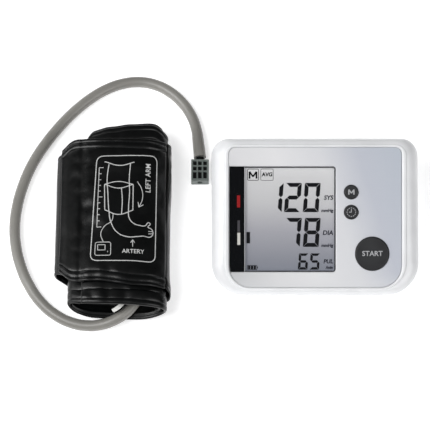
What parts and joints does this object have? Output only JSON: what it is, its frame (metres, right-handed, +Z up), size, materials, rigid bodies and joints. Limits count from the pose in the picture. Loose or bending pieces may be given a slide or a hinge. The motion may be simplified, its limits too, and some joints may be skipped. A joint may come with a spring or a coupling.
{
  "type": "blood pressure monitor",
  "caption": "Upper-arm blood pressure monitor: wedge console with a tilted display and push buttons, rolled arm cuff with a closing strap, and an air hose ending in a flat plug.",
  "frame": {"origin": "middle of the footprint of console and cuff, on the table", "axes": "+X to the right of someone reading the display, +Y to the back, +Z up"},
  "size_m": [0.323, 0.2188, 0.0593],
  "materials": {
    "housing_white": "fine-textured satin white",
    "foot_rubber": "matte",
    "screw_steel": "zinc plated",
    "silver_front": "satin silver lacquer",
    "clear_window": "polished clear",
    "black_film": "printed film",
    "display_glass": "grey reflective",
    "white_plastic": "plain moulded",
    "dark_rubber": "matte",
    "mat_rubber": "matte",
    "circuit_board": "solder mask",
    "button_grey": "satin dark grey",
    "black_plastic": "plain moulded",
    "cream_plastic": "plain moulded",
    "cell": "plain sleeve over a steel can",
    "contact_steel": "nickel plated",
    "motor_can": "plated can",
    "clear_tube": "milky silicone",
    "cuff_nylon": "smooth coated nylon",
    "cuff_inside": "plain nylon",
    "bladder_rubber": "matte",
    "closure": "hooks and loops",
    "label_cloth": "woven, bare",
    "hose_vinyl": "satin warm grey",
    "plug_grey": "satin grey-green"
  },
  "bodies": {
    "console": {"lower_case": "housing_white", "upper_case": "housing_white", "foot_1": "foot_rubber", "foot_2": "foot_rubber", "foot_3": "foot_rubber", "foot_4": "foot_rubber", "case_screw_1": "screw_steel", "case_screw_2": "screw_steel", "case_screw_3": "screw_steel", "case_screw_4": "screw_steel", "fascia": "silver_front", "display_window": "clear_window", "scale_film": "black_film", "lcd_panel": "display_glass", "lcd_frame": "white_plastic", "zebra_strip_front": "dark_rubber", "zebra_strip_back": "dark_rubber", "main_board": "circuit_board", "keypad_mat": "mat_rubber", "board_screw_1": "screw_steel", "board_screw_2": "screw_steel", "microcontroller": "black_plastic", "buzzer": "black_plastic", "pressure_sensor": "cream_plastic", "battery_1": "cell", "battery_2": "cell", "battery_3": "cell", "battery_4": "cell", "contact_spring_front": "contact_steel", "contact_spring_back": "contact_steel", "contact_plate_front": "contact_steel", "contact_plate_back": "contact_steel", "pump_motor": "motor_can", "pump_head": "black_plastic", "air_manifold": "cream_plastic", "valve_body": "black_plastic", "valve_spring": "contact_steel", "air_socket": "black_plastic", "adapter_jack": "black_plastic", "pump_tube": "clear_tube", "socket_tube": "clear_tube", "sensor_tube": "clear_tube", "valve_tube": "clear_tube"},
    "start_button": {"start_button": "button_grey"},
    "memory_button": {"memory_button": "button_grey"},
    "clock_button": {"clock_button": "button_grey"},
    "battery_door": {"battery_door": "housing_white"},
    "pump_shaft": {"pump_shaft": "contact_steel"},
    "valve_plunger": {"valve_plunger": "contact_steel"},
    "cuff": {"cuff_fabric": "cuff_nylon", "bladder": "bladder_rubber", "cuff_lining": "cuff_inside", "cuff_strap": "cuff_nylon", "loop_patch": "closure", "cuff_fitting": "black_plastic", "care_label": "label_cloth", "hose": "hose_vinyl", "hose_plug": "plug_grey"},
    "cuff_flap": {"cuff_flap": "cuff_nylon", "hook_patch": "closure"}
  },
  "joints": [
    {"name": "start_press", "type": "slide", "parent": "console", "child": "start_button", "axis": [0, 0.3746, -0.9272], "range_m": [0, 0.0008], "stiffness_N_per_m": 1500},
    {"name": "memory_press", "type": "slide", "parent": "console", "child": "memory_button", "axis": [0, 0.3746, -0.9272], "range_m": [0, 0.0008], "stiffness_N_per_m": 1500},
    {"name": "clock_press", "type": "slide", "parent": "console", "child": "clock_button", "axis": [0, 0.3746, -0.9272], "range_m": [0, 0.0008], "stiffness_N_per_m": 1500},
    {"name": "battery_door_slide", "type": "slide", "parent": "console", "child": "battery_door", "axis": [0, 1, 0], "range_m": [0, 0.062]},
    {"name": "pump_turn", "type": "hinge", "parent": "console", "child": "pump_shaft", "pos_m": [0.054, 0.0342, 0.0194], "axis": [1, 0, 0], "continuous": true},
    {"name": "valve_press", "type": "slide", "parent": "console", "child": "valve_plunger", "axis": [0, 0, -1], "range_m": [0, 0.0015], "stiffness_N_per_m": 400, "deforming": ["valve_spring"]},
    {"name": "cuff_lift", "type": "slide", "parent": "console", "child": "cuff", "axis": [0, 0, 1], "range_m": [0, 0.12]},
    {"name": "flap_peel", "type": "hinge", "parent": "cuff", "child": "cuff_flap", "pos_m": [-0.05444, 0, 0.02546], "axis": [0, 1, 0], "range_deg": [0, 110]}
  ]
}
